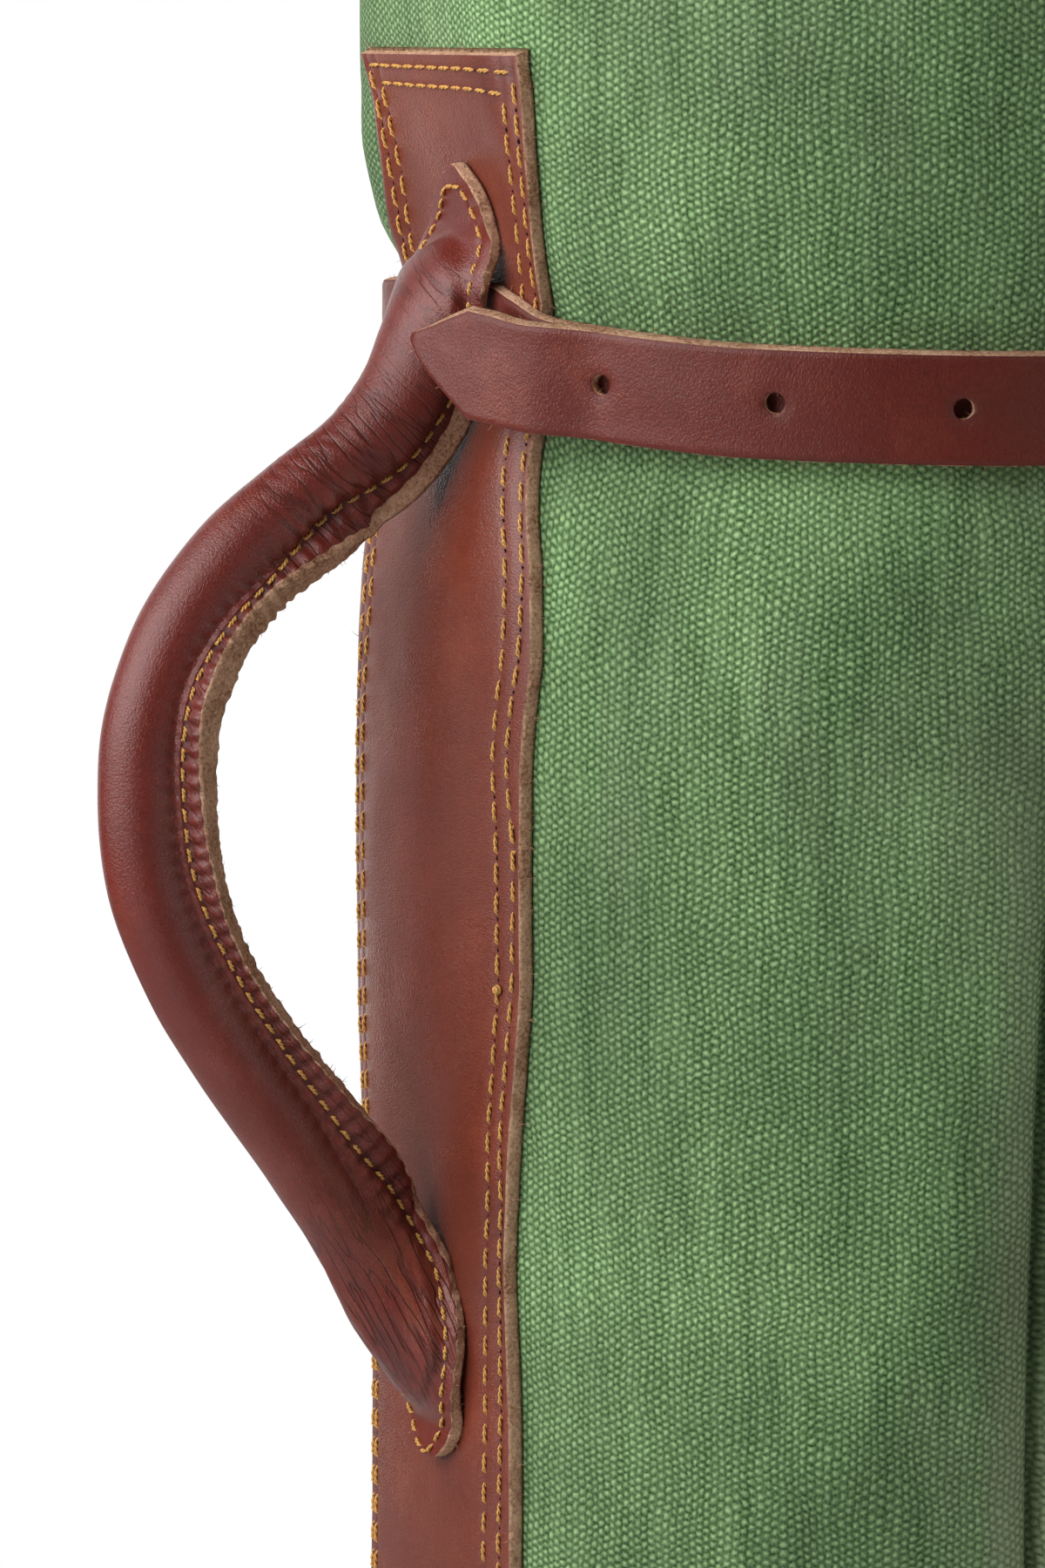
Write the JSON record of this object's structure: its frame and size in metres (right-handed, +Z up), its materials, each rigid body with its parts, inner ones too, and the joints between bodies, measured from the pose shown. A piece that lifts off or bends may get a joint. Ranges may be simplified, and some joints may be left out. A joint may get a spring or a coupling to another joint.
{
  "type": "canvas golf bag",
  "caption": "Upright canvas golf bag, an open tube with a leather side strip, a rolled leather grip handle and a buckled waist strap.",
  "frame": {"origin": "centre of the underside of the base, on the floor that the bag stands on", "axes": "+Z up along the bag's tube, -X towards the handle and its leather strip"},
  "size_m": [0.2734, 0.2066, 0.86],
  "materials": {
    "green_canvas": "plain woven cotton canvas",
    "brown_leather": "waxed, fine grain, raw edges",
    "buckle_brass": "satin"
  },
  "bodies": {
    "root": {"canvas_body": "green_canvas", "base_panel": "green_canvas", "side_strip": "brown_leather", "handle": "brown_leather", "waist_strap": "brown_leather", "buckle": "buckle_brass"}
  },
  "joints": []
}
